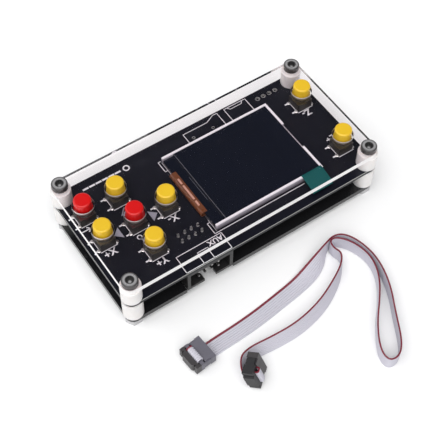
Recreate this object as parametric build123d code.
from build123d import *

import math
import os

# A handheld jog controller for a small milling machine: a bare circuit board held between two acrylic
# plates by corner spacers, with eight push buttons, a colour screen and a ribbon cable beside it.
# Millimetres, +Z up. The origin is under the middle of the device, on the surface that it stands on.
# X runs along the device. The cable header faces -Y.

# Plates, board and corner posts
DEVICE_LENGTH = 100.0
DEVICE_WIDTH = 50.0
CORNER_RADIUS = 3.0
SCREW_X = 47.0
SCREW_Y = 22.0
PLATE_THICKNESS = 2.0
BOARD_THICKNESS = 1.6
NUT_HEIGHT = 2.4
LOWER_SPACER = 8.0
UPPER_SPACER = 6.0
SPACER_RADIUS = 3.5
SPACER_BORE = 1.6
SCREW_RADIUS = 1.5
SCREW_CLEARANCE = 1.6
NUT_ACROSS_FLATS = 5.5
HEAD_RADIUS = 2.75
HEAD_HEIGHT = 2.0
HEX_SOCKET = 2.5
HEX_SOCKET_DEPTH = 1.3

# Heights of the stack, from the surface up
BOTTOM_PLATE_Z = NUT_HEIGHT
LOWER_SPACER_Z = BOTTOM_PLATE_Z + PLATE_THICKNESS
BOARD_Z = LOWER_SPACER_Z + LOWER_SPACER
BOARD_TOP = BOARD_Z + BOARD_THICKNESS
TOP_PLATE_Z = BOARD_TOP + UPPER_SPACER
TOP_Z = TOP_PLATE_Z + PLATE_THICKNESS

# Push buttons: 6 mm tactile switches with round caps
PAD_CENTRE = (-31.9, -0.1)
PAD_PITCH = 12.0
Z_KEYS_X = 43.8
Z_KEYS_Y = (11.6, -12.0)
BACK_KEY = (-44.3, 11.7)
SWITCH_SIZE = 6.0
SWITCH_BASE_HEIGHT = 3.2
SWITCH_COVER = 0.3
SWITCH_POCKET_RADIUS = 2.4
SWITCH_FLOOR = 1.0
PLUNGER_RADIUS = 1.75
PLUNGER_FLANGE_RADIUS = 2.2
PLUNGER_FLANGE_HEIGHT = 0.8
PLUNGER_GAP = 0.05
PLUNGER_ROUND_TOP = 5.4
PLUNGER_SQUARE = 2.4
PLUNGER_HEIGHT = 8.6
FIT_CLEARANCE = 0.02
LEG_X = 3.25
LEG_Y = 2.25
LEG_HOLE_RADIUS = 0.5
CAP_RADIUS = 3.0
CAP_FLANGE_RADIUS = 3.2
CAP_FLANGE_HEIGHT = 0.8
CAP_BOTTOM = 5.9
CAP_TOP = 10.7
CAP_HOLE_RADIUS = 3.7
CAP_ROUNDING = 0.6

# Screen
SCREEN_X = (-11.4, 32.0)
SCREEN_Y = (-17.0, 16.5)
SCREEN_HEIGHT = 3.0
SCREEN_RIM = 0.8
SCREEN_FLOOR = 0.5
BACKLIGHT_THICKNESS = 0.6
BASE_GLASS_THICKNESS = 0.8
FRONT_GLASS_THICKNESS = 0.9
FRONT_GLASS_LEFT = -7.2
FRAME_GAP_Y = (-6.3, 5.5)
FLEX_Y = (-9.8, 9.5)
FLEX_THICKNESS = 0.15
FLEX_OVERHANG = 0.3
FLEX_ON_GLASS = 1.5
FLEX_ON_BOARD = 1.2
TAB_X = (23.4, 31.6)
TAB_Y = (-23.3, -16.2)
TAB_THICKNESS = 0.2

# Cable header, 2 x 4 pins, opening to -Y under the board
PITCH = 2.54
PIN_COUNT = 4
HEADER_X = -19.1
HEADER_LENGTH = 17.8
HEADER_DEPTH = 8.9
HEADER_HEIGHT = 8.9
HEADER_CAVITY = (15.3, 6.6, 6.5)
HEADER_KEY_WIDTH = 4.5
PIN_SIZE = 0.64
PIN_REACH = 5.8
PIN_ROWS_Y = (-14.26, -11.72)
PIN_TOP = BOARD_TOP + 1.2
NOTCH_CLEARANCE = 0.3

# Sockets at the back edge, under the board
DATA_SOCKET_X = 24.0
DATA_SOCKET_SIZE = (7.7, 9.2, 4.0)
CARD_SOCKET_X = 9.1
CARD_SOCKET_SIZE = (14.0, 15.2, 1.9)
SHELL_WALL = 0.3

# Test pads at the back edge
TEST_PAD_X = 32.4
TEST_PAD_Y = 21.7
TEST_PAD_COUNT = 4

# Ribbon cable and its two sockets. They are this share of the size that would fit the header.
CABLE_SCALE = 0.6
WIRE_COUNT = 8
WIRE_PITCH = 1.27 * CABLE_SCALE
RIBBON_WIDTH = WIRE_COUNT * WIRE_PITCH
RIBBON_THICKNESS = 0.9 * CABLE_SCALE
PLUG_ROWS = 14.8 * CABLE_SCALE
PLUG_THICKNESS = 6.1 * CABLE_SCALE
PLUG_PITCH = PITCH * CABLE_SCALE
PLUG_HOLE = 1.0 * CABLE_SCALE
PLUG_ARM = 0.9 * CABLE_SCALE
PLUG_BODY = 6.6 * CABLE_SCALE
PLUG_SHOULDER = 3.2 * CABLE_SCALE
PLUG_COVER_TOP = 9.5 * CABLE_SCALE
PLUG_ARM_TOP = 12.8 * CABLE_SCALE
PLUG_CREST_TOP = 13.6 * CABLE_SCALE
PLUG_CREST_WIDTH = 9.6 * CABLE_SCALE
PLUG_KEY = [4.2 * CABLE_SCALE, 0.8 * CABLE_SCALE, 5.6 * CABLE_SCALE]
FOLD_EDGE = 3.3 * CABLE_SCALE
FOLD_RADIUS = 1.2 * CABLE_SCALE
FOLD_TURN = {"a": 90.0, "b": 60.0}
PLUG_B_LEAN = 20.0

# The ribbon's middle line from plug A to plug B: X, Y and the lean from upright in degrees. At 90 it lies
# flat with its marked wire on the left. At 0 it stands on edge. Its lower edge stays on the surface.
ROUTE = [
    (-39.5, -46.2, 90),
    (-31.5, -45.5, 90),
    (-22.5, -45.3, 90),
    (-13.5, -44.7, 90),
    (-3.5, -43.4, 90),
    (5.0, -42.2, 88),
    (10.5, -41.0, 68),
    (15.4, -39.3, 38),
    (19.5, -36.9, 5),
    (23.5, -35.4, 0),
    (27.3, -36.9, 0),
    (29.9, -42.6, 0),
    (30.6, -50.8, 0),
    (27.8, -60.6, 0),
    (22.2, -70.3, 0),
    (17.7, -78.8, 0),
    (13.7, -82.8, 0),
    (9.6, -82.4, 0),
    (9.8, -77.6, 0),
    (15.0, -69.7, 0),
    (22.6, -61.9, 0),
    (27.4, -55.2, 0),
    (29.3, -48.3, 0),
    (27.8, -41.4, 0),
    (24.4, -36.6, 0),
    (21.4, -36.3, 0),
    (20.8, -39.5, 0),
    (22.0, -42.3, 0),
    (19.5, -45.9, -6),
    (14.0, -49.8, -19),
    (5.0, -54.1, -27),
    (-5.8, -56.3, -27),
    (-15.9, -55.9, -26),
    (-24.2, -54.9, -23),
    (-28.3, -56.3, -21),
    (-29.8, -60.3, -20),
]

BUTTONS = {
    "x_plus": (PAD_CENTRE[0] - PAD_PITCH, PAD_CENTRE[1]),
    "x_minus": (PAD_CENTRE[0] + PAD_PITCH, PAD_CENTRE[1]),
    "y_plus": (PAD_CENTRE[0], PAD_CENTRE[1] - PAD_PITCH),
    "y_minus": (PAD_CENTRE[0], PAD_CENTRE[1] + PAD_PITCH),
    "select": PAD_CENTRE,
    "back": BACK_KEY,
    "z_minus": (Z_KEYS_X, Z_KEYS_Y[0]),
    "z_plus": (Z_KEYS_X, Z_KEYS_Y[1]),
}
POSTS = {
    "front_left": (-SCREW_X, -SCREW_Y),
    "front_right": (SCREW_X, -SCREW_Y),
    "rear_left": (-SCREW_X, SCREW_Y),
    "rear_right": (SCREW_X, SCREW_Y),
}


def box(low, high):
    """A box between two opposite corners."""
    size = [b - a for a, b in zip(low, high)]
    return Pos(*low) * Box(*size, align=(Align.MIN, Align.MIN, Align.MIN))


def rod(x, y, low, high, radius):
    """An upright cylinder."""
    return Pos(x, y, low) * Cylinder(radius, high - low, align=(Align.CENTER, Align.CENTER, Align.MIN))


def leg_places():
    """The places of all the switches' legs."""
    return [
        (x + side_x * LEG_X, y + side_y * LEG_Y)
        for x, y in BUTTONS.values()
        for side_x in (-1, 1)
        for side_y in (-1, 1)
    ]


def pin_columns():
    """The X of each column of header pins."""
    return [HEADER_X + (i - (PIN_COUNT - 1) / 2) * PITCH for i in range(PIN_COUNT)]


def plate(low, thickness):
    """A rounded plate with its four corner holes."""
    outline = RectangleRounded(DEVICE_LENGTH, DEVICE_WIDTH, CORNER_RADIUS)
    solid = Pos(0, 0, low) * extrude(outline, thickness)
    for x, y in POSTS.values():
        solid -= rod(x, y, low - 1, low + thickness + 1, SCREW_CLEARANCE)
    return solid


def top_cover():
    """The clear plate, with a round hole for each button cap."""
    solid = plate(TOP_PLATE_Z, PLATE_THICKNESS)
    for x, y in BUTTONS.values():
        solid -= rod(x, y, TOP_PLATE_Z - 1, TOP_Z + 1, CAP_HOLE_RADIUS)
    return solid


def bottom_cover():
    """The black plate, notched where the header hangs down into it."""
    half = HEADER_LENGTH / 2 + NOTCH_CLEARANCE
    front = -DEVICE_WIDTH / 2
    notch_low = (HEADER_X - half, front - 1, BOTTOM_PLATE_Z - 1)
    notch_high = (HEADER_X + half, front + HEADER_DEPTH + NOTCH_CLEARANCE, LOWER_SPACER_Z + 1)
    return plate(BOTTOM_PLATE_Z, PLATE_THICKNESS) - box(notch_low, notch_high)


def circuit_board():
    """The board with its drilled holes."""
    solid = plate(BOARD_Z, BOARD_THICKNESS)
    drilled = leg_places()
    drilled += [(x, y) for x in pin_columns() for y in PIN_ROWS_Y]
    drilled += [(TEST_PAD_X + i * PITCH, TEST_PAD_Y) for i in range(TEST_PAD_COUNT)]
    for x, y in drilled:
        solid -= rod(x, y, BOARD_Z - 1, BOARD_TOP + 1, LEG_HOLE_RADIUS)
    return solid


def spacer(x, y, low, height):
    """A round spacer tube."""
    tube = rod(x, y, low, low + height, SPACER_RADIUS)
    tube -= rod(x, y, low - 1, low + height + 1, SPACER_BORE)
    return tube


def case_screw(x, y):
    """A hexagon socket screw that runs through the whole stack."""
    head = rod(x, y, TOP_Z, TOP_Z + HEAD_HEIGHT, HEAD_RADIUS)
    head = fillet(head.edges().group_by(Axis.Z)[-1], 0.3)
    hexagon = RegularPolygon(HEX_SOCKET / 2, 6, major_radius=False)
    recess = Pos(x, y, TOP_Z + HEAD_HEIGHT - HEX_SOCKET_DEPTH) * extrude(hexagon, HEX_SOCKET_DEPTH + 1)
    return (head - recess) + rod(x, y, 0, TOP_Z, SCREW_RADIUS)


def case_nut(x, y):
    """A hexagon nut under the bottom plate, which is also a foot."""
    hexagon = RegularPolygon(NUT_ACROSS_FLATS / 2, 6, major_radius=False)
    nut = Pos(x, y, 0) * extrude(hexagon, NUT_HEIGHT)
    return nut - rod(x, y, -1, NUT_HEIGHT + 1, SCREW_RADIUS)


def switch_base(x, y):
    """A switch's square housing, with a round pocket for the dome and the plunger."""
    half = SWITCH_SIZE / 2
    low = BOARD_TOP
    solid = box((x - half, y - half, low), (x + half, y + half, low + SWITCH_BASE_HEIGHT))
    solid = fillet(solid.edges().filter_by(Axis.Z), 0.4)
    return solid - rod(x, y, low + SWITCH_FLOOR, low + SWITCH_BASE_HEIGHT + 1, SWITCH_POCKET_RADIUS)


def switch_cover(x, y):
    """The steel plate that closes a switch."""
    half = SWITCH_SIZE / 2 - 0.1
    low = BOARD_TOP + SWITCH_BASE_HEIGHT
    solid = box((x - half, y - half, low), (x + half, y + half, low + SWITCH_COVER))
    return solid - rod(x, y, low - 1, low + 1, PLUNGER_RADIUS + 0.1)


def switch_dome(x, y):
    """The snap disc under a plunger: a shallow spherical cap."""
    base = BOARD_TOP + SWITCH_FLOOR
    radius = 4.3
    rise = 0.55
    thickness = 0.1
    ball = Pos(x, y, base + rise - radius) * Sphere(radius)
    inner = Pos(x, y, base + rise - radius) * Sphere(radius - thickness)
    cutter = rod(x, y, base, base + 1, SWITCH_POCKET_RADIUS - 0.1)
    return (ball - inner) & cutter


def switch_legs():
    """The tinned legs of the switches, through the board."""
    half_x = 0.15
    half_y = 0.35
    low = BOARD_Z - 1.4
    return [
        box((x - half_x, y - half_y, low), (x + half_x, y + half_y, BOARD_TOP + 0.5))
        for x, y in outer_legs()
    ]


def outer_legs():
    """The legs' places, just outside the switches' housings."""
    return [
        (x + side_x * (SWITCH_SIZE / 2 + 0.2), y + side_y * LEG_Y)
        for x, y in BUTTONS.values()
        for side_x in (-1, 1)
        for side_y in (-1, 1)
    ]


def plunger(x, y):
    """The moving stem of a switch: a flange, a round neck and a square end for the cap."""
    flange_top = BOARD_TOP + SWITCH_BASE_HEIGHT - PLUNGER_GAP
    flange_bottom = flange_top - PLUNGER_FLANGE_HEIGHT
    stem_top = BOARD_TOP + PLUNGER_HEIGHT
    half = PLUNGER_SQUARE / 2
    solid = rod(x, y, flange_bottom, flange_top, PLUNGER_FLANGE_RADIUS)
    solid += rod(x, y, flange_bottom - 0.3, flange_bottom, 0.7)
    solid += rod(x, y, flange_top, BOARD_TOP + PLUNGER_ROUND_TOP, PLUNGER_RADIUS)
    square = box((x - half, y - half, BOARD_TOP + PLUNGER_ROUND_TOP), (x + half, y + half, stem_top))
    return solid + square


def button_cap(x, y):
    """A round cap with a rounded top edge, a collar at its foot and a square socket for the stem."""
    low = BOARD_TOP + CAP_BOTTOM
    solid = rod(x, y, low, BOARD_TOP + CAP_TOP, CAP_RADIUS)
    solid = fillet(solid.edges().group_by(Axis.Z)[-1], CAP_ROUNDING)
    solid += rod(x, y, low, low + CAP_FLANGE_HEIGHT, CAP_FLANGE_RADIUS)
    half = PLUNGER_SQUARE / 2 + FIT_CLEARANCE
    socket_top = BOARD_TOP + PLUNGER_HEIGHT + FIT_CLEARANCE
    return solid - box((x - half, y - half, low - 1), (x + half, y + half, socket_top))


def screen_layers():
    """The heights of the screen's layers, from its frame's floor up."""
    floor = BOARD_TOP + SCREEN_FLOOR
    backlight = floor + BACKLIGHT_THICKNESS
    base_glass = backlight + BASE_GLASS_THICKNESS
    return floor, backlight, base_glass, base_glass + FRONT_GLASS_THICKNESS


def screen_inside():
    """The X and Y limits inside the screen's frame."""
    return (SCREEN_X[0] + 0.2, SCREEN_X[1] - SCREEN_RIM), (SCREEN_Y[0] + SCREEN_RIM, SCREEN_Y[1] - SCREEN_RIM)


def screen_frame():
    """The white tray: rims at the back, front and right, and an open left side for the flex."""
    floor, backlight, base_glass, top = screen_layers()
    inside_x, inside_y = screen_inside()
    rim_top = BOARD_TOP + SCREEN_HEIGHT
    solid = box((SCREEN_X[0], SCREEN_Y[0], BOARD_TOP), (SCREEN_X[1], SCREEN_Y[1], rim_top))
    solid -= box((SCREEN_X[0] - 1, inside_y[0], floor), (inside_x[1], inside_y[1], rim_top + 1))
    gap_low = (inside_x[1] - 1, FRAME_GAP_Y[0], base_glass)
    solid -= box(gap_low, (SCREEN_X[1] + 1, FRAME_GAP_Y[1], rim_top + 1))
    flex_low = (SCREEN_X[0] - 1, FLEX_Y[0] - 0.4, BOARD_TOP - 1)
    return solid - box(flex_low, (SCREEN_X[0] + 1.6, FLEX_Y[1] + 0.4, floor + 1))


def screen_slab(low, high, left):
    """One layer of the screen's stack."""
    (_, right), (front, back) = screen_inside()
    gap = 0.05
    return box((left, front + gap, low), (right - gap, back - gap, high))


def screen_flex():
    """The amber flex: it leaves the glass ledge, bends over the screen's left edge and meets the board."""
    _, _, ledge, _ = screen_layers()
    upper = ledge + FLEX_THICKNESS / 2 + 0.02
    lower = BOARD_TOP + FLEX_THICKNESS / 2
    bend = (upper - lower) / 2
    left = SCREEN_X[0] - FLEX_OVERHANG
    middle_line = Line((left + FLEX_ON_GLASS, upper), (left, upper))
    middle_line += ThreePointArc((left, upper), (left - bend, (upper + lower) / 2), (left, lower))
    middle_line += Line((left, lower), (left + FLEX_ON_BOARD, lower))
    strip = extrude(trace(middle_line, FLEX_THICKNESS), FLEX_Y[1] - FLEX_Y[0])
    return Plane(origin=(0, FLEX_Y[1], 0), x_dir=(1, 0, 0), z_dir=(0, -1, 0)) * strip


def film_tab():
    """The pull tab of the screen's protective film, which slopes down from the front rim."""
    high = BOARD_TOP + SCREEN_HEIGHT
    low = high - 1.3
    points = [
        (TAB_Y[1], high),
        (SCREEN_Y[0], high),
        (TAB_Y[0], low),
        (TAB_Y[0], low + TAB_THICKNESS),
        (SCREEN_Y[0], high + TAB_THICKNESS),
        (TAB_Y[1], high + TAB_THICKNESS),
    ]
    outline = Plane.YZ * make_face(Polyline(*points, close=True))
    return Pos(TAB_X[0], 0, 0) * extrude(outline, TAB_X[1] - TAB_X[0], dir=(1, 0, 0))


def header_shroud():
    """The box header's housing, with its mouth at the board's front edge and a key slot below."""
    front = -DEVICE_WIDTH / 2
    low = BOARD_Z - HEADER_HEIGHT
    half = HEADER_LENGTH / 2
    solid = box((HEADER_X - half, front, low), (HEADER_X + half, front + HEADER_DEPTH, BOARD_Z))
    width, depth, height = HEADER_CAVITY
    wall = (HEADER_HEIGHT - height) / 2
    cavity_low = (HEADER_X - width / 2, front - 1, low + wall)
    solid -= box(cavity_low, (HEADER_X + width / 2, front + depth, BOARD_Z - wall))
    key = HEADER_KEY_WIDTH / 2
    solid -= box((HEADER_X - key, front - 1, low - 1), (HEADER_X + key, front + depth, low + wall + 1))
    hole = PIN_SIZE / 2 + 0.01
    for x in pin_columns():
        for z in pin_heights():
            solid -= box((x - hole, front, z - hole), (x + hole, 0, z + hole))
    return solid


def pin_heights():
    """The heights of the two rows of pins in the header's mouth, the upper one first."""
    middle = BOARD_Z - HEADER_HEIGHT / 2
    return middle + PITCH / 2, middle - PITCH / 2


def header_pins():
    """The bent pins: each runs back out of the housing and up through the board."""
    half = PIN_SIZE / 2
    tip = -DEVICE_WIDTH / 2 + HEADER_CAVITY[1] - PIN_REACH
    pins = []
    for x in pin_columns():
        for z, y in zip(pin_heights(), PIN_ROWS_Y):
            level = box((x - half, tip, z - half), (x + half, y + half, z + half))
            level = chamfer(level.faces().sort_by(Axis.Y)[0].edges(), 0.15)
            pins.append(level + box((x - half, y - half, z - half), (x + half, y + half, PIN_TOP)))
    return pins


def data_socket_shell():
    """The steel shell of the data socket, open to the back."""
    width, depth, height = DATA_SOCKET_SIZE
    back = DEVICE_WIDTH / 2
    x = DATA_SOCKET_X
    solid = box((x - width / 2, back - depth, BOARD_Z - height), (x + width / 2, back, BOARD_Z))
    lower_edges = solid.edges().filter_by(Axis.Y).group_by(Axis.Z)[0]
    solid = chamfer(lower_edges, 0.9)
    hollow = box(
        (x - width / 2 + SHELL_WALL, back - depth + SHELL_WALL, BOARD_Z - height + SHELL_WALL),
        (x + width / 2 - SHELL_WALL, back + 1, BOARD_Z - SHELL_WALL),
    )
    lower_edges = hollow.edges().filter_by(Axis.Y).group_by(Axis.Z)[0]
    return solid - chamfer(lower_edges, 0.75)


def data_socket_tongue():
    """The contact tongue inside the data socket."""
    width, depth, height = DATA_SOCKET_SIZE
    back = DEVICE_WIDTH / 2
    x = DATA_SOCKET_X
    root = back - depth + SHELL_WALL
    block = box((x - 3.2, root, BOARD_Z - height + 1.3), (x + 3.2, root + 1.6, BOARD_Z - SHELL_WALL - 0.1))
    tongue = box((x - 2.4, root, BOARD_Z - 2.4), (x + 2.4, back - 1.0, BOARD_Z - 1.5))
    return block + tongue


def card_socket_base():
    """The plastic floor of the memory card socket, with its two side rails."""
    width, depth, height = CARD_SOCKET_SIZE
    back = DEVICE_WIDTH / 2
    x = CARD_SOCKET_X
    inner = width / 2 - SHELL_WALL - 0.05
    top = BOARD_Z
    solid = box((x - inner, back - depth + 0.4, top - 0.6), (x + inner, back - 0.6, top))
    for side in (-1, 1):
        edges = sorted((x + side * inner, x + side * (inner - 0.9)))
        rail_low = (edges[0], back - depth + 0.4, top - height + SHELL_WALL + 0.1)
        solid += box(rail_low, (edges[1], back - 0.6, top - 0.6))
    return solid


def card_socket_cover():
    """The pressed steel cover of the memory card socket."""
    width, depth, height = CARD_SOCKET_SIZE
    back = DEVICE_WIDTH / 2
    x = CARD_SOCKET_X
    low = BOARD_Z - height
    solid = box((x - width / 2, back - depth, low), (x + width / 2, back - 0.4, BOARD_Z))
    hollow_low = (x - width / 2 + SHELL_WALL, back - depth + SHELL_WALL, low + SHELL_WALL)
    solid -= box(hollow_low, (x + width / 2 - SHELL_WALL, back + 1, BOARD_Z + 1))
    for side in (-1, 1):
        window_x = x + side * 3.4
        solid -= box((window_x - 0.7, back - 11.5, low - 1), (window_x + 0.7, back - 7.5, low + 1))
    return solid


def controller_chip():
    """The microcontroller's package with its leads, under the board."""
    x, y, half, height = -4.0, -2.0, 3.5, 1.4
    low = BOARD_Z - 0.1 - height
    solid = box((x - half, y - half, low), (x + half, y + half, BOARD_Z - 0.1))
    solid = chamfer(solid.edges().group_by(Axis.Z)[0], 0.2)
    lead_pitch = 0.5
    for i in range(12):
        along = (i - 5.5) * lead_pitch
        for side in (-1, 1):
            ends = sorted((side * (half - 0.2), side * (half + 1.0)))
            solid += box((x + ends[0], y + along - 0.11, BOARD_Z - 0.6), (x + ends[1], y + along + 0.11, BOARD_Z))
            solid += box((x + along - 0.11, y + ends[0], BOARD_Z - 0.6), (x + along + 0.11, y + ends[1], BOARD_Z))
    return solid


def small_parts():
    """Regulator, crystal and chip capacitors and resistors under the board."""
    parts = [box((30.0, 2.0, BOARD_Z - 1.7), (36.5, 5.5, BOARD_Z))]
    crystal = box((6.0, -8.0, BOARD_Z - 1.2), (11.0, -4.8, BOARD_Z))
    parts.append(fillet(crystal.edges().filter_by(Axis.Z), 0.8))
    length, width, height = 2.0, 1.25, 0.8
    for i in range(5):
        x = -14.0 + i * 4.0
        parts.append(box((x, 5.5, BOARD_Z - height), (x + length, 5.5 + width, BOARD_Z)))
    for i in range(4):
        x = 16.0 + i * 3.2
        parts.append(box((x, -9.0, BOARD_Z - height), (x + width, -9.0 + length, BOARD_Z)))
    return parts


def plug_body():
    """A plug's housing, with its mouth at Z 0, its rows along X and its key on the -Y side."""
    half_rows = PLUG_ROWS / 2
    half = PLUG_THICKNESS / 2
    solid = box((-half_rows, -half, 0), (half_rows, half, PLUG_BODY))
    for side in (-1, 1):
        ends = sorted((side * (half_rows + 1), side * (half_rows - PLUG_ARM)))
        solid -= box((ends[0], -half - 1, PLUG_SHOULDER), (ends[1], half + 1, PLUG_BODY + 1))
    key_width, key_height, key_top = PLUG_KEY
    solid += box((-key_width / 2, -half - key_height, 0.4), (key_width / 2, -half, key_top))
    for i in range(PIN_COUNT):
        for row in (-1, 1):
            place = Pos((i - (PIN_COUNT - 1) / 2) * PLUG_PITCH, row * PLUG_PITCH / 2, 0)
            solid -= place * Box(PLUG_HOLE, PLUG_HOLE, PLUG_BODY)
    return solid


def plug_cover():
    """The cover that presses the ribbon onto the contacts, with an arm down each end."""
    half_rows = PLUG_ROWS / 2
    half = PLUG_THICKNESS / 2
    low = PLUG_BODY + RIBBON_THICKNESS
    solid = box((-half_rows, -half, low), (half_rows, half, PLUG_COVER_TOP))
    for side in (-1, 1):
        ends = sorted((side * half_rows, side * (half_rows - PLUG_ARM)))
        arm_low = PLUG_SHOULDER + 0.05
        solid += box((ends[0], 0.5 - half, arm_low), (ends[1], half - 0.5, low))
    return solid


def plug_clip():
    """The strain relief that holds the folded ribbon down: an arm at each end and a raised middle."""
    half_rows = PLUG_ROWS / 2
    half = PLUG_THICKNESS / 2
    crest = PLUG_CREST_WIDTH / 2
    low = PLUG_COVER_TOP + RIBBON_THICKNESS
    solid = box((-half_rows, -half, low), (half_rows, half, PLUG_ARM_TOP))
    middle = box((-crest, -half, low), (crest, half, PLUG_CREST_TOP))
    solid += chamfer(middle.edges().filter_by(Axis.Y).group_by(Axis.Z)[-1], 0.6)
    for side in (-1, 1):
        groove = sorted((side * crest, side * (crest + 0.35)))
        solid -= box((groove[0], -half - 1, PLUG_ARM_TOP - 0.6), (groove[1], half + 1, PLUG_ARM_TOP + 1))
        ends = sorted((side * half_rows, side * (half_rows - 0.9)))
        solid += box((ends[0], -half, PLUG_COVER_TOP), (ends[1], half, low))
    return solid


def plug_fold(turn):
    """The ribbon inside a plug: through the contacts, round the cover and out on the key side."""
    crimp = PLUG_BODY + RIBBON_THICKNESS / 2
    over = PLUG_COVER_TOP + RIBBON_THICKNESS / 2
    half = PLUG_THICKNESS / 2
    loop = (over - crimp) / 2
    middle_line = Line((-half, crimp), (half, crimp))
    middle_line += ThreePointArc((half, crimp), (half + loop, crimp + loop), (half, over))
    middle_line += Line((half, over), (-FOLD_EDGE, over))
    middle_line += JernArc((-FOLD_EDGE, over), (-1, 0), FOLD_RADIUS, turn)
    strip = extrude(trace(middle_line, RIBBON_THICKNESS), RIBBON_WIDTH)
    return Plane(origin=(-RIBBON_WIDTH / 2, 0, 0), x_dir=(0, 1, 0), z_dir=(1, 0, 0)) * strip


def plug_exit(turn):
    """Where the ribbon leaves a plug, in the plug's own frame: its middle and its direction."""
    angle = math.radians(turn)
    over = PLUG_COVER_TOP + RIBBON_THICKNESS / 2
    middle = Vector(0, -FOLD_EDGE - FOLD_RADIUS * math.sin(angle), over - FOLD_RADIUS * (1 - math.cos(angle)))
    return middle, Vector(0, -math.cos(angle), -math.sin(angle))


def resting_height(degrees):
    """The height of the ribbon's middle when it rests on its lower edge at this lean."""
    angle = math.radians(abs(degrees))
    across = RIBBON_WIDTH / 2 * math.cos(angle)
    return across + RIBBON_THICKNESS / 2 * math.sin(angle) + 0.02


def route_points():
    """The ribbon's middle line in space."""
    return [Vector(x, y, resting_height(degrees)) for x, y, degrees in ROUTE]


def plug_place(name):
    """Where a plug stands, from the end of the ribbon that leaves it."""
    points = route_points()
    turn = FOLD_TURN[name]
    end, inner = (points[0], points[1]) if name == "a" else (points[-1], points[-2])
    outward = math.degrees(math.atan2(inner.Y - end.Y, inner.X - end.X))
    if name == "a":
        along = Vector(1, 0, 0).rotate(Axis.Z, outward + 180)
        rows = Vector(0, 0, 1).cross(along)
        middle_height = resting_height(90) - plug_exit(turn)[0].Y
    else:
        along = Vector(1, 0, 0).rotate(Axis.Z, outward + 180 - (90 - turn))
        rows = Vector(0, 0, -1).rotate(Axis((0, 0, 0), along), PLUG_B_LEAN)
        lean = math.radians(PLUG_B_LEAN)
        middle_height = PLUG_ROWS / 2 * math.cos(lean) + PLUG_THICKNESS / 2 * math.sin(lean) + 0.02
    frame = Plane(origin=(0, 0, 0), x_dir=rows, z_dir=along)
    offset = frame.from_local_coords(plug_exit(turn)[0])
    origin = Vector(end.X - offset.X, end.Y - offset.Y, middle_height)
    return Location(Plane(origin=origin, x_dir=rows, z_dir=along))


def exit_section(name):
    """The ribbon's section where it leaves a plug."""
    middle, outward = plug_exit(FOLD_TURN[name])
    travel = outward if name == "a" else outward * -1
    plane = Plane(origin=middle, x_dir=(-1, 0, 0), z_dir=travel)
    return plug_place(name) * (plane * Rectangle(RIBBON_WIDTH, RIBBON_THICKNESS))


def corner_radii(points):
    """The largest arcs that the runs beside each corner allow."""
    radii = []
    for before, here, after in zip(points, points[1:], points[2:]):
        first = here - before
        second = after - here
        half_turn = math.radians(first.get_angle(second)) / 2
        radii.append(0.45 * min(first.length, second.length) / math.tan(half_turn))
    return radii


def lean_at(point, run):
    """The ribbon's lean at a point of its line, from the leans at the ends of its run."""
    points = route_points()
    best = None
    for i in (run, min(run + 1, len(points) - 2)):
        along = points[i + 1] - points[i]
        share = (point - points[i]).dot(along) / along.dot(along)
        share = min(1.0, max(0.0, share))
        gap = (points[i] + along * share - point).length
        lean = ROUTE[i][2] + (ROUTE[i + 1][2] - ROUTE[i][2]) * share
        if best is None or gap < best[0]:
            best = (gap, lean)
    return best[1]


def ribbon_section(point, ahead, lean):
    """One rectangle across the ribbon, resting on its lower edge."""
    level = Vector(ahead.X, ahead.Y, 0).normalized()
    side = Vector(0, 0, 1).cross(level)
    angle = math.radians(lean)
    upright = Vector(0, 0, 1) * math.cos(angle) + side * math.sin(angle)
    middle = (point.X, point.Y, resting_height(lean))
    return Plane(origin=middle, x_dir=upright, z_dir=level) * Rectangle(RIBBON_WIDTH, RIBBON_THICKNESS)


def ribbon_sections(path):
    """Rectangles across the ribbon: at both plugs, along its arcs and along its twist."""
    sections = [exit_section("a")]
    run = 0
    for edge in path.edges():
        curved = edge.geom_type == GeomType.CIRCLE
        turn = edge.tangent_at(0).get_angle(edge.tangent_at(1))
        steps = math.ceil(turn / 20) if curved else 1
        if abs(ROUTE[run][2] - ROUTE[min(run + 1, len(ROUTE) - 1)][2]) > 15:
            steps = max(steps, 2)
        for step in range(1, steps + 1):
            point = edge.position_at(step / steps)
            sections.append(ribbon_section(point, edge.tangent_at(step / steps), lean_at(point, run)))
        run += 1 if curved else 0
    sections[-1] = exit_section("b")
    return sections


def free_ribbon():
    """The ribbon between the plugs, as straight facets between rectangles along its line."""
    points = route_points()
    radii = corner_radii(points)
    path = FilletPolyline(*points, radius=radii)
    solid = loft(ribbon_sections(path), ruled=True)
    share = solid.volume / (RIBBON_WIDTH * RIBBON_THICKNESS * path.length)
    print("ribbon radii", [round(r, 1) for r in radii])
    print(f"ribbon length {path.length:.1f} mm, volume {share:.3f} of section x length")
    print(f"ribbon lowest point {solid.bounding_box().min.Z:.3f} mm")
    return solid


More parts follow.
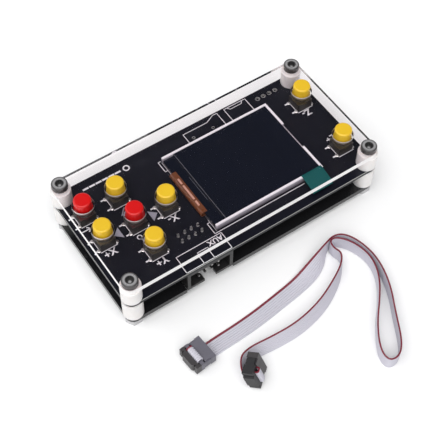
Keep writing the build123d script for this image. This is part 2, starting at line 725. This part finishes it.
def save(name, solids):
    """Writes one node, from one solid or a group of separate solids."""
    group = solids if isinstance(solids, list) else [solids]
    shape = group[0] if len(group) == 1 else Compound(children=group)
    shape.label = name
    export_step(shape, os.path.join("parts", name + ".step"))


def save_case():
    save("top_cover", top_cover())
    save("bottom_cover", bottom_cover())
    save("circuit_board", circuit_board())
    for name, (x, y) in POSTS.items():
        save("upper_spacer_" + name, spacer(x, y, BOARD_TOP, UPPER_SPACER))
        save("lower_spacer_" + name, spacer(x, y, LOWER_SPACER_Z, LOWER_SPACER))
    save("case_screws", [case_screw(x, y) for x, y in POSTS.values()])
    save("case_nuts", [case_nut(x, y) for x, y in POSTS.values()])


def save_screen():
    floor, backlight, base_glass, top = screen_layers()
    left = SCREEN_X[0] + 0.2
    save("screen_frame", screen_frame())
    save("screen_backlight", screen_slab(floor, backlight, SCREEN_X[0] + 1.8))
    glass = screen_slab(backlight, base_glass, left) + screen_slab(base_glass, top, FRONT_GLASS_LEFT)
    save("screen_glass", glass)
    save("screen_flex", screen_flex())
    save("film_tab", film_tab())


def save_buttons():
    for name, (x, y) in BUTTONS.items():
        save("switch_base_" + name, switch_base(x, y))
        save("plunger_" + name, plunger(x, y))
        save("cap_" + name, button_cap(x, y))
    save("switch_covers", [switch_cover(x, y) for x, y in BUTTONS.values()])
    save("switch_domes", [switch_dome(x, y) for x, y in BUTTONS.values()])
    save("switch_legs", switch_legs())


def save_board_parts():
    save("header_shroud", header_shroud())
    save("header_pins", header_pins())
    save("data_socket_shell", data_socket_shell())
    save("data_socket_tongue", data_socket_tongue())
    save("card_socket_base", card_socket_base())
    save("card_socket_cover", card_socket_cover())
    save("controller_chip", controller_chip())
    save("small_parts", small_parts())


def save_cable():
    ribbon = [free_ribbon()]
    for name in ("a", "b"):
        place = plug_place(name)
        print("plug", name, "mouth at", place.position, "turned", place.orientation)
        save(f"plug_{name}_body", place * plug_body())
        save(f"plug_{name}_cover", place * plug_cover())
        save(f"plug_{name}_clip", place * plug_clip())
        ribbon.append(place * plug_fold(FOLD_TURN[name]))
    save("ribbon_cable", ribbon)


os.makedirs("parts", exist_ok=True)
save_case()
save_screen()
save_buttons()
save_board_parts()
save_cable()
